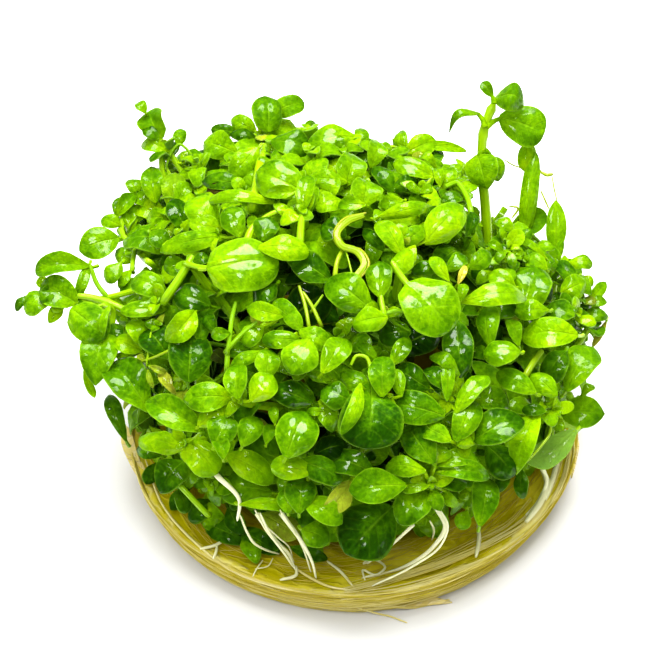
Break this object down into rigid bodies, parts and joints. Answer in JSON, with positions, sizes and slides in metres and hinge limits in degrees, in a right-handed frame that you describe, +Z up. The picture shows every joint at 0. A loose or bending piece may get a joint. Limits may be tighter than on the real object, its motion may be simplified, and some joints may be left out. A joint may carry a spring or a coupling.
{
  "type": "potless in-vitro hygrophila plant",
  "caption": "Portion of hygrophila water plant grown in jelly: a low jelly pad wound with roots, carrying a dense dome of small bright green leaves.",
  "frame": {"origin": "middle of the jelly pad's flat underside", "axes": "+Z up, away from the surface that the pad stands on; the side with the loose roots faces -Y"},
  "size_m": [0.1095, 0.0905, 0.0642],
  "materials": {
    "jelly": "wet translucent plant jelly, golden olive",
    "root_mat": "fine cream roots pressed flat, wet",
    "root": "smooth white root, wet",
    "stem": "juicy yellow-green stem",
    "leaf": "glossy wet leaf, lime to deep green"
  },
  "bodies": {
    "root": {"jelly_pad": "jelly", "root_mat": "root_mat", "root_front_middle": "root", "root_front_left": "root", "root_left_thick": "root", "root_right_arc": "root", "root_right_thin": "root", "root_right_end": "root", "shoot_01_stem": "stem", "shoot_01_leaves": "leaf", "shoot_02_stem": "stem", "shoot_02_leaves": "leaf", "shoot_03_stem": "stem", "shoot_03_leaves": "leaf", "shoot_04_stem": "stem", "shoot_04_leaves": "leaf", "shoot_05_stem": "stem", "shoot_05_leaves": "leaf", "shoot_06_stem": "stem", "shoot_06_leaves": "leaf", "shoot_07_stem": "stem", "shoot_07_leaves": "leaf", "shoot_08_stem": "stem", "shoot_08_leaves": "leaf", "shoot_09_stem": "stem", "shoot_09_leaves": "leaf", "shoot_10_stem": "stem", "shoot_10_leaves": "leaf", "shoot_11_stem": "stem", "shoot_11_leaves": "leaf", "shoot_12_stem": "stem", "shoot_12_leaves": "leaf", "shoot_13_stem": "stem", "shoot_13_leaves": "leaf", "shoot_14_stem": "stem", "shoot_14_leaves": "leaf", "shoot_15_stem": "stem", "shoot_15_leaves": "leaf", "shoot_16_stem": "stem", "shoot_16_leaves": "leaf", "left_long_stem": "stem", "left_long_leaves": "leaf", "left_hanging_stem": "stem", "left_hanging_leaves": "leaf", "back_left_stem": "stem", "back_left_leaves": "leaf", "right_side_stem": "stem", "right_side_leaves": "leaf", "right_low_stem": "stem", "right_low_leaves": "leaf", "tall_stem": "stem", "upright_stem": "stem", "tall_leaf_tip_right": "leaf", "tall_leaf_tip_left": "leaf", "tall_leaf_upper_right": "leaf", "tall_leaf_upper_left": "leaf", "tall_leaf_lower_left": "leaf", "tall_leaf_lower_right": "leaf", "curled_leaf": "leaf", "upright_leaf": "leaf"}
  },
  "joints": []
}
